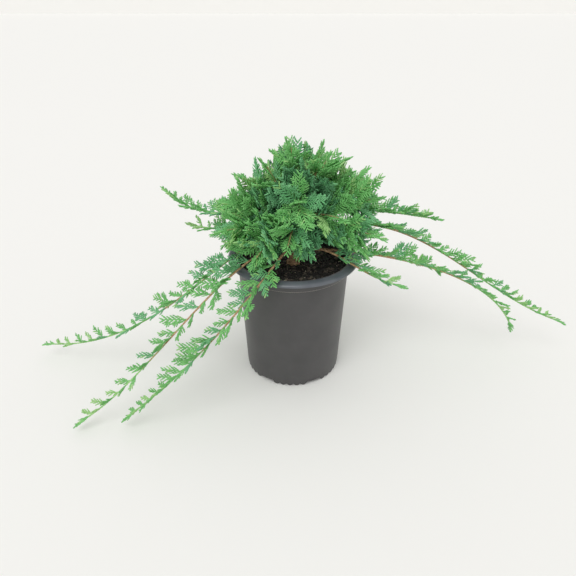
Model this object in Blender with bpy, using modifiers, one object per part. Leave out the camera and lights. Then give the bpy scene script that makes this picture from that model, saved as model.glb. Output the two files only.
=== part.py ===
# Rug juniper in a black nursery pot.
# A low plant whose short trunk stands in the potting mix. Bare boughs pass over the rim of the
# pot, and each carries on as a long runner that arches out and down to the floor. Between them
# short, leafy stems make a dome over the pot. Metres, +Z up. The plant is laid out with the
# pot's axis at X = Y = 0 and is centred on its own footprint at the very end.

import math
import random

import bmesh
import bpy
import numpy as np
from mathutils import Matrix, Vector

# Pot: a trade-gallon nursery pot
POT_HEIGHT = 0.1655
RIM_RADIUS = 0.0825
RIM_DROP = 0.0045        # from the crest of the rim to its lower edge
COLLAR_RADIUS = 0.0716   # the band straight below the rim
COLLAR_HEIGHT = 0.0115
COLLAR_STEP = 0.0007
WALL_TOP_RADIUS = 0.0706
WALL_FOOT_RADIUS = 0.0632
WALL = 0.0013
FLOOR_LIFT = 0.0055      # how far the pot's floor stands above the table
FLOOR = 0.0016
FOOT_WIDTH = 0.0040
POT_STEPS = 48
FEET = 6
FIRST_NOTCH_ANGLE = 296.0
NOTCH_ANGLE = 18.0
NOTCH_HEIGHT = 0.0050
DRAIN_RADIUS = 0.0050
DRAIN_CIRCLE = 0.0470

# Potting mix
SOIL_TOP = 0.1520
SOIL_RINGS = 5
SOIL_STEPS = 30
SOIL_ROUGHNESS = 0.0016
GAP = 0.0003             # between neighbours

# Trunk
TRUNK_TOP = 0.2440
TRUNK_FOOT_RADIUS = 0.0058
TRUNK_TIP_RADIUS = 0.0026
TRUNK_FLARE = 0.0036
TRUNK_LEAN = (0.007, 0.005)
TRUNK_POINTS = 9
FLARE_DECAY = 14.0         # how fast the flare dies away above the mix
POINT_CROWDING = 1.3       # sets the trunk's points closer together near its foot

# Limbs
BOUGH_RADIUS = 0.0023
STEM_RADIUS = 0.0014
STEM_TIP_RADIUS = 0.0008
BARE_REACH = 0.052       # a runner's bough is bare up to this distance from the trunk
POINT_SPACING = 0.022    # between the points of a stem
SAMPLES = 24             # places at which a limb's path is measured
REACH_STEPS = 400        # steps in which a path is searched for a distance from the trunk
PATH_STEPS = 80          # steps in which a path's length is added up
FINE_SPACING = 0.002

# Sprays of scale leaves: flat, toothed blades
SPRAY_HALF_WIDTH = 0.31  # as parts of a spray's length
SPRAY_THICKNESS = 0.050
SPRAY_ROOT = 0.0009
SMALL_SPRAY = 0.021      # a spray shorter than this has one tooth a side, and others two
TIP_SPRAY_SLIMNESS = 0.5
GOLDEN_ANGLE = math.radians(137.5)
RUNNER_TURNS = (0.0, 0.4, -0.4, 0.8)
DOME_TURNS = (0.0, 0.8, -0.8, 1.6, -1.6, 2.4, -2.4, 3.1)
SHRINKS = (1.0, 0.85, 0.7, 0.55)
SIZE_RANGE = (0.85, 1.10)      # random parts of a spray's size, lean and spacing
LEAN_RANGE = (0.80, 1.15)
SPACING_RANGE = (0.85, 1.15)
RUNNER_TURN_RANGE = (8.0, 58.0)   # degrees that a runner's sprays are swept up
DOME_TURN_JITTER = 0.3
TWIST = 30.0
TAPER_CURVE = 1.5
TIP_SINK = 0.25                # part of the last spray that is sunk in its stem

# Clearances
ROOM = 0.0010            # left between a spray and another mass's space
FLOOR_ROOM = 0.0030
SEED = 41


class Limb:
    """A limb's path: it leaves the trunk at `start` high, climbs at `climb` degrees, and comes
    down at `fall` degrees to its tip, `reach` out and `tip` high. Seen from above it leaves at
    `azimuth` and swings by `turn`. `pull` and `ease` are how long it keeps those two slopes."""

    def __init__(self, name, azimuth, reach, start, tip, climb, fall, pull, ease, turn=0.0,
                 bough=None, spray=0.050, spacing=0.0062, spread=40.0, tip_spray=0.036, taper=0.10):
        self.name, self.bough = name, bough
        self.azimuth, self.turn = azimuth, turn
        self.spray, self.spacing, self.spread = spray, spacing, spread
        self.tip_spray, self.taper = tip_spray, taper
        climb, fall = math.radians(climb), math.radians(fall)
        self.foot = (trunk_radius(start) + GAP + BOUGH_RADIUS * abs(math.sin(climb)), start)
        self.tip = (reach, tip)
        self.after_foot = (self.foot[0] + pull * math.cos(climb), start + pull * math.sin(climb))
        self.before_tip = (reach - ease * math.cos(fall), tip + ease * math.sin(fall))

    def point(self, t):
        bezier = [(1 - t) ** 3, 3 * t * (1 - t) ** 2, 3 * t * t * (1 - t), t ** 3]
        handles = (self.foot, self.after_foot, self.before_tip, self.tip)
        out = sum(b * h[0] for b, h in zip(bezier, handles))
        high = sum(b * h[1] for b, h in zip(bezier, handles))
        angle = math.radians(self.azimuth + self.turn * t)
        axis = trunk_axis(self.foot[1]) * (1 - t)
        return Vector((axis.x + out * math.cos(angle), axis.y + out * math.sin(angle), high))

    def at_reach(self, reach):
        """The first place along the path that is this far from the trunk."""
        places = (i / REACH_STEPS for i in range(REACH_STEPS + 1))
        return next(t for t in places if self.point(t).xy.length >= reach)


def trunk_axis(height):
    rise = max(0.0, (height - SOIL_TOP) / (TRUNK_TOP - SOIL_TOP))
    return Vector((TRUNK_LEAN[0] * rise, TRUNK_LEAN[1] * rise, 0.0))


def trunk_radius(height):
    rise = (height - SOIL_TOP) / (TRUNK_TOP - SOIL_TOP)
    taper = TRUNK_FOOT_RADIUS + (TRUNK_TIP_RADIUS - TRUNK_FOOT_RADIUS) * rise
    return taper + TRUNK_FLARE * math.exp(-rise * FLARE_DECAY)


def make_limbs():
    """The runners follow the photograph round the front and sides. The three at the back and
    the back of the dome, which the photograph hides, are grown like them."""
    runner = dict(spray=0.039, spacing=0.0170, spread=46.0, tip_spray=0.024, taper=0.72)
    branch = dict(spray=0.036, spacing=0.0125, spread=44.0, tip_spray=0.020, taper=0.60)
    return [
        Limb("runner_left", 214, 0.355, 0.186, 0.023, 34, 8, 0.090, 0.205, -34, "bough_left",
             **runner),
        Limb("runner_front_left", 222, 0.296, 0.174, 0.011, 26, 22, 0.100, 0.090, -13,
             "bough_front_left", **runner),
        Limb("runner_front", 262, 0.246, 0.182, 0.013, 24, 45, 0.074, 0.132, -48, "bough_front",
             **runner),
        Limb("runner_upper_left", 160, 0.209, 0.196, 0.219, 24, -34, 0.080, 0.090, -9,
             "bough_upper_left", **branch),
        Limb("runner_far_left", 147, 0.178, 0.178, 0.166, 30, -6, 0.060, 0.070, 1,
             "bough_far_left", **branch),
        Limb("runner_right", 5, 0.385, 0.182, 0.050, 30, 16, 0.150, 0.145, -3.6, "bough_right",
             **runner),
        Limb("runner_low_right", 347, 0.308, 0.171, 0.040, 6, 64, 0.115, 0.120, 14,
             "bough_low_right", **runner),
        Limb("runner_short_right", 325, 0.152, 0.176, 0.160, 18, -6, 0.060, 0.060, 4,
             "bough_short_right", **branch),
        Limb("runner_high_right", 17, 0.194, 0.200, 0.200, 24, 6, 0.070, 0.070, -10,
             "bough_high_right", **branch),
        Limb("runner_back_right", 64, 0.225, 0.184, 0.060, 30, 44, 0.090, 0.080, 8,
             "bough_back_right", **runner),
        Limb("runner_back", 97, 0.250, 0.174, 0.036, 26, 36, 0.100, 0.090, -4, "bough_back",
             **runner),
        Limb("runner_back_left", 126, 0.200, 0.188, 0.088, 28, 38, 0.080, 0.070, -6,
             "bough_back_left", **runner),
        Limb("dome_top", 150, 0.006, 0.2444, 0.309, 88, -86, 0.020, 0.020),
        Limb("dome_top_right", 356, 0.030, 0.236, 0.307, 40, -78, 0.024, 0.025),
        Limb("dome_top_left", 176, 0.038, 0.229, 0.286, 40, -60, 0.026, 0.020),
        Limb("dome_high_right", 40, 0.058, 0.222, 0.285, 40, -52, 0.028, 0.020),
        Limb("dome_upright_right", 10, 0.098, 0.217, 0.268, 30, -42, 0.034, 0.026, 10),
        Limb("dome_left", 164, 0.072, 0.216, 0.266, 34, -40, 0.030, 0.022, 4),
        Limb("dome_low_left", 192, 0.090, 0.206, 0.240, 30, -24, 0.034, 0.028),
        Limb("dome_near_left", 206, 0.106, 0.198, 0.212, 28, 0, 0.038, 0.032),
        Limb("dome_front_left", 238, 0.088, 0.196, 0.178, 26, 46, 0.036, 0.026, -4),
        Limb("dome_front", 262, 0.066, 0.205, 0.194, 26, 30, 0.026, 0.018),
        Limb("dome_front_high", 275, 0.054, 0.228, 0.256, 34, -30, 0.024, 0.018),
        Limb("dome_front_right", 320, 0.078, 0.214, 0.230, 30, -6, 0.030, 0.022),
        Limb("dome_near_right", 340, 0.116, 0.192, 0.204, 28, 0, 0.042, 0.034),
        Limb("dome_right", 354, 0.108, 0.207, 0.244, 28, -18, 0.038, 0.030),
        Limb("dome_back_right", 60, 0.092, 0.206, 0.242, 32, -26, 0.034, 0.026),
        Limb("dome_back", 97, 0.080, 0.218, 0.258, 32, -34, 0.034, 0.026),
        Limb("dome_back_left", 130, 0.092, 0.210, 0.240, 32, -24, 0.034, 0.026),
    ]


def clear_scene():
    for item in list(bpy.context.scene.objects):
        bpy.data.objects.remove(item, do_unlink=True)


def new_collection(name):
    collection = bpy.data.collections.new(name)
    bpy.context.scene.collection.children.link(collection)
    return collection


def make_material(name, color, roughness):
    material = bpy.data.materials.new(name)
    material.use_nodes = True
    shader = material.node_tree.nodes["Principled BSDF"]
    shader.inputs["Base Color"].default_value = (*color, 1.0)
    shader.inputs["Roughness"].default_value = roughness
    shader.inputs["Metallic"].default_value = 0.0
    return material


def add_object(name, data, collection, material):
    item = bpy.data.objects.new(name, data)
    collection.objects.link(item)
    if material:
        data.materials.append(material)
    return item


def mesh_from(bm, name):
    mesh = bpy.data.meshes.new(name)
    bm.to_mesh(mesh)
    bm.free()
    return mesh


def apply_modifiers(item):
    """Keeps the shape that the modifiers give and drops them."""
    graph = bpy.context.evaluated_depsgraph_get()
    mesh = bpy.data.meshes.new_from_object(item.evaluated_get(graph))
    item.modifiers.clear()
    item.data = mesh


def turned(name, profile, steps, collection, material):
    """A profile in the XZ plane, turned about Z."""
    bm = bmesh.new()
    verts = [bm.verts.new((radius, 0.0, height)) for radius, height in profile]
    for first, second in zip(verts, verts[1:]):
        bm.edges.new((first, second))
    item = add_object(name, mesh_from(bm, name), collection, material)
    screw = item.modifiers.new("turn", "SCREW")
    screw.steps = screw.render_steps = steps
    screw.use_merge_vertices = True
    screw.merge_threshold = 0.00001
    return item


def wall_radius(height):
    return WALL_FOOT_RADIUS + (WALL_TOP_RADIUS - WALL_FOOT_RADIUS) * height / POT_HEIGHT


def pot_profile():
    """From the middle of the inside, up the inside, over the rim and down to the middle below."""
    edge = POT_HEIGHT - RIM_DROP
    collar_foot = edge - COLLAR_HEIGHT
    inside_floor = FLOOR_LIFT + FLOOR
    rim_mid = (RIM_RADIUS + COLLAR_RADIUS) / 2
    inside = [
        (0.0, inside_floor),
        (wall_radius(inside_floor) - WALL, inside_floor),
        (wall_radius(collar_foot) - WALL, collar_foot),
        (COLLAR_RADIUS - WALL, edge),
    ]
    rim = [
        (COLLAR_RADIUS + WALL, POT_HEIGHT),
        (rim_mid + 0.0015, POT_HEIGHT - 0.0005),
        (RIM_RADIUS - 0.0008, POT_HEIGHT - 0.0019),
        (RIM_RADIUS, edge),
        (RIM_RADIUS - WALL, edge),
        (rim_mid, POT_HEIGHT - 0.0026),
        (COLLAR_RADIUS, POT_HEIGHT - 0.0030),
    ]
    outside = [
        (COLLAR_RADIUS, collar_foot),
        (wall_radius(collar_foot), collar_foot - COLLAR_STEP),
        (wall_radius(FLOOR_LIFT), FLOOR_LIFT),
        (WALL_FOOT_RADIUS - 0.0008, 0.0),
        (WALL_FOOT_RADIUS - FOOT_WIDTH, 0.0),
        (WALL_FOOT_RADIUS - FOOT_WIDTH, FLOOR_LIFT),
        (0.0, FLOOR_LIFT),
    ]
    return inside + rim + outside


def make_pot(parts, cutters, material):
    pot = turned("pot", pot_profile(), POT_STEPS, parts, material)
    notch_width = 2 * WALL_FOOT_RADIUS * math.sin(math.radians(NOTCH_ANGLE / 2))
    notch_size = Vector((4 * FOOT_WIDTH, notch_width, 2 * NOTCH_HEIGHT))
    for number in range(FEET):
        turn = Matrix.Rotation(math.radians(FIRST_NOTCH_ANGLE + number * 360 / FEET), 4, "Z")
        cutter = bmesh.new()
        notch = bmesh.ops.create_cube(cutter, size=1.0)["verts"]
        bmesh.ops.scale(cutter, vec=notch_size, verts=notch)
        bmesh.ops.translate(cutter, vec=(WALL_FOOT_RADIUS, 0.0, 0.0), verts=notch)
        cut(pot, cutter, turn, f"notch_{number + 1}", cutters)
        cutter = bmesh.new()
        bmesh.ops.create_cone(cutter, cap_ends=True, segments=8, radius1=DRAIN_RADIUS,
                              radius2=DRAIN_RADIUS, depth=4 * FLOOR)
        bmesh.ops.translate(cutter, vec=(DRAIN_CIRCLE, 0.0, FLOOR_LIFT), verts=cutter.verts)
        cut(pot, cutter, turn, f"drain_{number + 1}", cutters)
    return pot


def cut(item, cutter_bm, placing, name, cutters):
    """Takes a cutter's shape out of an object."""
    cutter_bm.transform(placing)
    cutter = add_object(name, mesh_from(cutter_bm, name), cutters, None)
    cutter.hide_render = True
    cutter.display_type = "WIRE"
    boolean = item.modifiers.new(name, "BOOLEAN")
    boolean.operation = "DIFFERENCE"
    boolean.object = cutter


def make_soil(parts, material):
    """Fills the pot to a little below the rim. Its top is uneven but for the trunk's foot."""
    bottom = FLOOR_LIFT + FLOOR + GAP
    slack = 1 / math.cos(math.pi / POT_STEPS)
    foot_radius = wall_radius(bottom) / slack - WALL - 2 * GAP
    top_radius = wall_radius(SOIL_TOP) / slack - WALL - 2 * GAP
    bare = TRUNK_FOOT_RADIUS + TRUNK_FLARE + 0.004
    rings = [bare + (top_radius - bare) * i / (SOIL_RINGS - 1) for i in range(SOIL_RINGS)]
    top_profile = [(0.0, SOIL_TOP)] + [(radius, SOIL_TOP) for radius in rings]
    soil = turned("soil", top_profile + [(foot_radius, bottom), (0.0, bottom)], SOIL_STEPS, parts,
                  material)
    apply_modifiers(soil)
    rng = random.Random(SEED)
    for vert in soil.data.vertices:
        radius = vert.co.xy.length
        if vert.co.z > SOIL_TOP - GAP and radius > bare + GAP:
            vert.co.z += rng.uniform(-1, 1) * SOIL_ROUGHNESS
    return soil


def tube(name, points, radii, sides, collection, material):
    """A capped tube of the given radius at each point. A curve's bevel has 4 sides or more."""
    curve = bpy.data.curves.new(name, "CURVE")
    curve.dimensions = "3D"
    curve.bevel_depth = 1.0
    curve.bevel_resolution = (sides - 4) // 2
    curve.use_fill_caps = True
    spline = curve.splines.new("POLY")
    spline.points.add(len(points) - 1)
    for spot, point, radius in zip(spline.points, points, radii):
        spot.co = (*point, 1.0)
        spot.radius = radius
    return add_object(name, curve, collection, material)


def make_trunk(parts, material):
    foot, top = SOIL_TOP + GAP, TRUNK_TOP
    heights = [foot + (top - foot) * (i / (TRUNK_POINTS - 1)) ** POINT_CROWDING
               for i in range(TRUNK_POINTS)]
    points = [trunk_axis(height) + Vector((0.0, 0.0, height)) for height in heights]
    points[1].xy = points[0].xy          # upright at its foot, so that the cut there is level
    return tube("trunk", points, [trunk_radius(h) for h in heights], 10, parts, material)


def path_points(limb, first, last, spacing):
    """Points along a limb from one place on its path to another, about evenly spaced."""
    fine = [limb.point(first + (last - first) * i / PATH_STEPS) for i in range(PATH_STEPS + 1)]
    along = [0.0]
    for here, there in zip(fine, fine[1:]):
        along.append(along[-1] + (there - here).length)
    count = max(3, round(along[-1] / spacing) + 1)
    points = []
    for number in range(count):
        target = along[-1] * number / (count - 1)
        index = next((i for i, length in enumerate(along) if length >= target - 1e-9), PATH_STEPS)
        index = max(1, index)
        share = (target - along[index - 1]) / (along[index] - along[index - 1])
        points.append(fine[index - 1].lerp(fine[index], share))
    return points


def frame_of(direction):
    """The directions beside and above a stem that runs this way."""
    side = direction.cross(Vector((0.0, 0.0, 1.0)))
    side = side.normalized() if side.length > 0.05 else Vector((1.0, 0.0, 0.0))
    return side, side.cross(direction).normalized()


class Spaces:
    """Knows every limb's path, so that a spray can be kept nearer to its own than to any other
    and off the boughs, the pot and the floor."""

    def __init__(self, limbs):
        starts, ends, owners, thick = [], [], [], []
        for number, limb in enumerate(limbs):
            split = limb.at_reach(BARE_REACH) if limb.bough else 0.0
            places = [i / SAMPLES for i in range(SAMPLES + 1)]
            for first, second in zip(places, places[1:]):
                starts.append(limb.point(first))
                ends.append(limb.point(second))
                owners.append(number if second > split else -1)
                thick.append(STEM_RADIUS if second > split else BOUGH_RADIUS)
        heights = [SOIL_TOP + (TRUNK_TOP - SOIL_TOP) * i / 8 for i in range(9)]
        for low, high in zip(heights, heights[1:]):
            starts.append(trunk_axis(low) + Vector((0.0, 0.0, low)))
            ends.append(trunk_axis(high) + Vector((0.0, 0.0, high)))
            owners.append(-1)
            thick.append(trunk_radius(low))
        self.starts = np.array([tuple(p) for p in starts])
        self.runs = np.array([tuple(p) for p in ends]) - self.starts
        self.lengths = (self.runs ** 2).sum(axis=1)
        self.owners, self.thick = np.array(owners), np.array(thick)

    def free_spots(self, points, owner):
        """For each point, whether it is in this mass's own space."""
        spots = np.array([tuple(p) for p in points])
        out = np.hypot(spots[:, 0], spots[:, 1])
        high = spots[:, 2]
        in_pot = (out < RIM_RADIUS + ROOM) & (high < POT_HEIGHT + ROOM)
        over_soil = (out < WALL_TOP_RADIUS - 3 * WALL) & (high > SOIL_TOP + SOIL_ROUGHNESS + ROOM)
        offset = spots[:, None, :] - self.starts[None, :, :]
        share = np.clip((offset * self.runs).sum(axis=2) / self.lengths, 0.0, 1.0)
        away = np.linalg.norm(offset - share[:, :, None] * self.runs, axis=2)
        mine = self.owners == owner
        own = away[:, mine].min(axis=1)
        other = away[:, ~mine & (self.owners >= 0)].min(axis=1)
        bare = (away - self.thick)[:, ~mine].min(axis=1)
        clear = (~in_pot | over_soil) & (high > FLOOR_ROOM)
        return clear & (own + ROOM < other) & (bare > ROOM)

    def is_free(self, points, owner):
        return bool(self.free_spots(points, owner).all())


def spray_outline(length, slimness):
    """One side of a spray: its root, then each tooth's tip and the notch after it, then the
    spray's own tip, as (along, across)."""
    reach = SPRAY_HALF_WIDTH * slimness * length
    if length < SMALL_SPRAY:
        return [(0.0, SPRAY_ROOT), (0.58 * length, reach), (0.62 * length, 0.08 * length),
                (length, 0.0)]
    return [(0.0, SPRAY_ROOT), (0.42 * length, reach), (0.44 * length, 0.09 * length),
            (0.76 * length, 0.82 * reach), (0.80 * length, 0.05 * length), (length, 0.0)]


def spray_mesh(length, slimness=1.0):
    """A toothed blade, flat below and ridged above along its rib."""
    high = SPRAY_THICKNESS * length
    outline = spray_outline(length, slimness)
    teeth = (len(outline) - 2) // 2
    bm = bmesh.new()
    rib = [bm.verts.new((0.0, 0.0, SPRAY_ROOT))]
    for along, share in ((0.30, 1.0), (0.68, 0.7)) if teeth == 2 else ((0.45, 1.0),):
        rib.append(bm.verts.new((along * length, 0.0, high * share)))
    tip = bm.verts.new((length, 0.0, 0.0))
    left, right = ([bm.verts.new((along, side * across, 0.0)) for along, across in outline[:-1]]
                   + [tip] for side in (1, -1))
    for edge in (left, right):
        for tooth in range(teeth):
            root, point, notch = edge[2 * tooth:2 * tooth + 3]
            bm.faces.new((rib[tooth], root, point))
            bm.faces.new((rib[tooth], point, rib[tooth + 1]))
            bm.faces.new((rib[tooth + 1], point, notch))
        bm.faces.new((rib[-1], edge[-2], tip))
    for number in range(len(outline) - 2):
        bm.faces.new((left[number], right[number], right[number + 1], left[number + 1]))
    bm.faces.new((left[-2], right[-2], tip))
    bm.faces.new((rib[0], left[0], right[0]))
    bmesh.ops.triangulate(bm, faces=bm.faces)
    bmesh.ops.recalc_face_normals(bm, faces=bm.faces)
    return bm


def spray_samples(length):
    """Places all over a spray, to test that it is free."""
    outline = spray_outline(length, 1.0)
    spots = [Vector((length * i / 10, 0.0, 0.0)) for i in range(2, 11)]
    for side in (1, -1):
        for first, second in zip(outline, outline[1:]):
            for share in (0.0, 0.35, 0.7):
                along = first[0] + (second[0] - first[0]) * share
                across = first[1] + (second[1] - first[1]) * share
                if along > 0.1 * length:
                    spots.append(Vector((along, side * across, 0.0)))
    return spots


def placing(root, direction, across, thick):
    """The matrix that lays a spray's length along `direction` and its width along `across`."""
    turn = Matrix((direction, across, thick)).transposed().to_4x4()
    return Matrix.Translation(root) @ turn


def grow_sprays(limb, points, owner, spaces):
    """Sprays along a stem that lean forward by `spread` and shorten towards the tip by `taper`.
    On a runner they stand on alternate sides and are swept up, and in the dome they go round
    the stem. One that isn't free is tried shorter and at other turns, and then left out."""
    rng = random.Random(SEED + owner)
    lengths = [(b - a).length for a, b in zip(points, points[1:])]
    total = sum(lengths)
    sprays = []
    station, number = limb.spacing * 0.6, 0
    while station < total - limb.spacing * 0.3:
        index, rest = 0, station
        while rest > lengths[index]:
            rest -= lengths[index]
            index += 1
        run = (points[index + 1] - points[index]).normalized()
        root = points[index] + run * rest
        beside, above = frame_of(run)
        share = station / total
        size = limb.spray * (1 - limb.taper * share ** TAPER_CURVE) * rng.uniform(*SIZE_RANGE)
        if limb.bough:
            turn = math.radians(rng.uniform(*RUNNER_TURN_RANGE))
            turn = turn if number % 2 else math.pi - turn
        else:
            turn = number * GOLDEN_ANGLE + rng.uniform(-DOME_TURN_JITTER, DOME_TURN_JITTER)
        lean = math.radians(limb.spread * rng.uniform(*LEAN_RANGE))
        twist = math.radians(rng.uniform(-TWIST, TWIST) + (0 if limb.bough else 90))
        turns = RUNNER_TURNS if limb.bough else DOME_TURNS
        for shrink, more in ((shrink, more) for shrink in SHRINKS for more in turns):
            outward = beside * math.cos(turn + more) + above * math.sin(turn + more)
            direction = (run * math.cos(lean) + outward * math.sin(lean)).normalized()
            across = (run - direction * run.dot(direction)).normalized()
            across = Matrix.Rotation(twist, 3, direction) @ across
            where = placing(root, direction, across, direction.cross(across).normalized())
            if spaces.is_free([where @ spot for spot in spray_samples(size * shrink)], owner):
                sprays.append((size * shrink, 1.0, where))
                break
        station += limb.spacing * rng.uniform(*SPACING_RANGE)
        number += 1
    run = (points[-1] - points[-2]).normalized()
    beside = frame_of(run)[0]
    root = points[-1] - run * limb.tip_spray * TIP_SINK
    slimness = TIP_SPRAY_SLIMNESS if limb.bough else 1.0
    where = placing(root, run, beside, run.cross(beside))
    sprays.append((limb.tip_spray * (1 + TIP_SINK), slimness, where))
    return sprays


def welded_mesh(curve_item):
    """A curve object's mesh with its caps joined on. The curve object is removed."""
    graph = bpy.context.evaluated_depsgraph_get()
    mesh = bpy.data.meshes.new_from_object(curve_item.evaluated_get(graph))
    bm = bmesh.new()
    bm.from_mesh(mesh)
    bmesh.ops.remove_doubles(bm, verts=bm.verts, dist=0.00001)
    bmesh.ops.triangulate(bm, faces=bm.faces)
    bmesh.ops.recalc_face_normals(bm, faces=bm.faces)
    bm.to_mesh(mesh)
    bm.free()
    bpy.data.objects.remove(curve_item, do_unlink=True)
    return mesh


def largest_piece(mesh):
    """Drops the loose scraps and the walls of sealed hollows that fusing leaves behind."""
    bm = bmesh.new()
    bm.from_mesh(mesh)
    bmesh.ops.remove_doubles(bm, verts=bm.verts, dist=0.000001)
    unseen = set(bm.verts)
    pieces = []
    while unseen:
        piece, front = set(), [next(iter(unseen))]
        while front:
            vert = front.pop()
            if vert in piece:
                continue
            piece.add(vert)
            front.extend(edge.other_vert(vert) for edge in vert.link_edges)
        unseen -= piece
        pieces.append(piece)
    keep = max(pieces, key=len)
    bmesh.ops.delete(bm, geom=[v for v in bm.verts if v not in keep], context="VERTS")
    bmesh.ops.triangulate(bm, faces=bm.faces)
    bm.to_mesh(mesh)
    bm.free()


def make_mass(limb, owner, spaces, parts, material):
    """A stem with its sprays, fused into one solid."""
    first = 0.0
    if limb.bough:
        first = limb.at_reach(BARE_REACH)
    fine = path_points(limb, first, 1.0, FINE_SPACING)
    tip_steps = round(limb.tip_spray / FINE_SPACING)
    last = 1.0 - (1.0 - first) * tip_steps / (len(fine) - 1)
    points = path_points(limb, first, last, POINT_SPACING)
    run = (points[1] - points[0]).normalized()
    if limb.bough:
        points[0] = points[0] + run * GAP
    count = len(points)
    radii = [STEM_RADIUS + (STEM_TIP_RADIUS - STEM_RADIUS) * i / (count - 1) for i in range(count)]
    stem_curve = tube(limb.name, points, radii, 4, parts, None)
    item = add_object(limb.name, welded_mesh(stem_curve), parts, material)
    item.name = limb.name
    pieces = new_collection("sprays of " + limb.name)
    for number, (length, slimness, where) in enumerate(grow_sprays(limb, points, owner, spaces)):
        bm = spray_mesh(length, slimness)
        bm.transform(where)
        add_object(f"{limb.name} spray {number}", mesh_from(bm, "spray"), pieces, None)
    join = item.modifiers.new("join", "BOOLEAN")
    join.operation = "UNION"
    join.operand_type = "COLLECTION"
    join.collection = pieces
    join.solver = "MANIFOLD"
    apply_modifiers(item)
    for piece in list(pieces.objects):
        bpy.data.objects.remove(piece, do_unlink=True)
    bpy.data.collections.remove(pieces)
    largest_piece(item.data)
    return item


def make_bough(limb, parts, material):
    """The bare, tapering limb that carries a runner from the trunk over the rim."""
    points = path_points(limb, 0.0, limb.at_reach(BARE_REACH), POINT_SPACING)
    count = len(points)
    radii = [BOUGH_RADIUS + (STEM_RADIUS - BOUGH_RADIUS) * i / (count - 1) for i in range(count)]
    return tube(limb.bough, points, radii, 6, parts, material)


def centre_on_footprint(parts):
    """Moves the whole plant so that the middle of its bounding box is over the origin."""
    graph = bpy.context.evaluated_depsgraph_get()
    corners = []
    for item in parts.objects:
        solid = item.evaluated_get(graph)
        mesh = solid.to_mesh()
        corners.extend(item.matrix_world @ vert.co for vert in mesh.vertices)
        solid.to_mesh_clear()
    middle = [(min(p[i] for p in corners) + max(p[i] for p in corners)) / 2 for i in (0, 1)]
    for item in bpy.context.scene.objects:
        item.location.x -= middle[0]
        item.location.y -= middle[1]


def main():
    clear_scene()
    parts = new_collection("potted_rug_juniper")
    cutters = new_collection("cutters")
    plastic = make_material("black plastic", (0.035, 0.036, 0.038), 0.42)
    mix = make_material("potting mix", (0.022, 0.017, 0.013), 0.95)
    bark = make_material("bark", (0.30, 0.16, 0.08), 0.85)
    leaf = make_material("foliage", (0.10, 0.29, 0.10), 0.60)
    limbs = make_limbs()
    spaces = Spaces(limbs)
    make_pot(parts, cutters, plastic)
    make_soil(parts, mix)
    make_trunk(parts, bark)
    for owner, limb in enumerate(limbs):
        if limb.bough:
            make_bough(limb, parts, bark)
        make_mass(limb, owner, spaces, parts, leaf)
    centre_on_footprint(parts)


main()
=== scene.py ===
# Rug juniper in a black nursery pot: the looks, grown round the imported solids.

import math
import random

import bpy
import numpy as np
from mathutils import Matrix, Vector, noise


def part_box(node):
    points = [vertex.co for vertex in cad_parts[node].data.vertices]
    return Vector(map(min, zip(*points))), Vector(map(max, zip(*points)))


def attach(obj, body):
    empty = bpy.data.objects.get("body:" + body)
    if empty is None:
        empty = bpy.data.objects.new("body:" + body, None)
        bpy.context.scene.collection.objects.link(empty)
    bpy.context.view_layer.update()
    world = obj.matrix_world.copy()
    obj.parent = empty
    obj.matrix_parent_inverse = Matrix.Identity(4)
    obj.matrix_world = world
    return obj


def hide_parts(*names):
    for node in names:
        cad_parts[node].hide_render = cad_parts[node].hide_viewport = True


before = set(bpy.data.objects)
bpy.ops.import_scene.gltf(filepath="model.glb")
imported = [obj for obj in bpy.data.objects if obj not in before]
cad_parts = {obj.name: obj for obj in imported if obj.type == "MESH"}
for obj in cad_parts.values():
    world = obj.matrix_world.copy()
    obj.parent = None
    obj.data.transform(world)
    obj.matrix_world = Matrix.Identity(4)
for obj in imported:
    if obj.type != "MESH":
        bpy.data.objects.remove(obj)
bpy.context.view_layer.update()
potLow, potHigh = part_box("pot")
potAxis = Vector(((potLow[0] + potHigh[0]) / 2, (potLow[1] + potHigh[1]) / 2, 0.0))
seed = 41

# Camera, light and floor

stage = {
    "lens": 30.0,                 # with the sensor's width it gives the photograph's field of view
    "sensorWidth": 36.0,
    "pitch": 30.559,              # degrees below level
    "cameraFromPot": (-0.0068, -0.5453, 0.4354),
    "floorSize": 60.0,
    "backdropHeight": 10.0,
    "floorRoughness": 0.9,
    "floorColor": (0.87, 0.865, 0.845, 1.0),
    "skyColor": (1.0, 0.995, 0.98, 1.0),
    "skyStrength": 0.79,
    "sunStrength": 1.05,
    "sunAngle": 38.0,
    "sunTurn": (34.0, -16.0, 0.0),
}


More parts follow.
